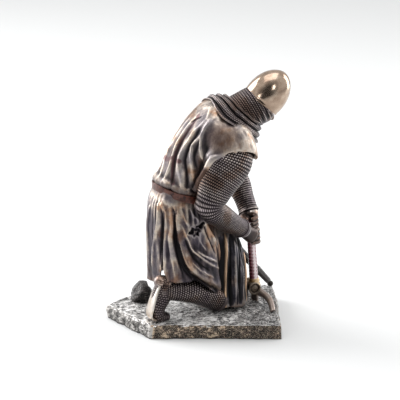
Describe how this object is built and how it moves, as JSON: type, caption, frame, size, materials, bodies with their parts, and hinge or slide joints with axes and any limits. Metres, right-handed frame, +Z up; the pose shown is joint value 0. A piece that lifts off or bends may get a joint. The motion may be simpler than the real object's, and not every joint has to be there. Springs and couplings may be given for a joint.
{
  "type": "medieval knight statue",
  "caption": "Figurine of a kneeling knight with bowed head, his hands on the grip of a sword planted in a rough rock plinth.",
  "frame": {"origin": "centre of the plinth's flat underside", "axes": "+Z up, -Y the way the knight faces, -X his right hand side"},
  "size_m": [0.1213, 0.1345, 0.1898],
  "materials": {
    "rock": "matte",
    "bronze": "satin",
    "sword_finish": "satin"
  },
  "bodies": {
    "root": {"plinth": "rock", "knight": "bronze", "sword": "sword_finish"}
  },
  "joints": []
}
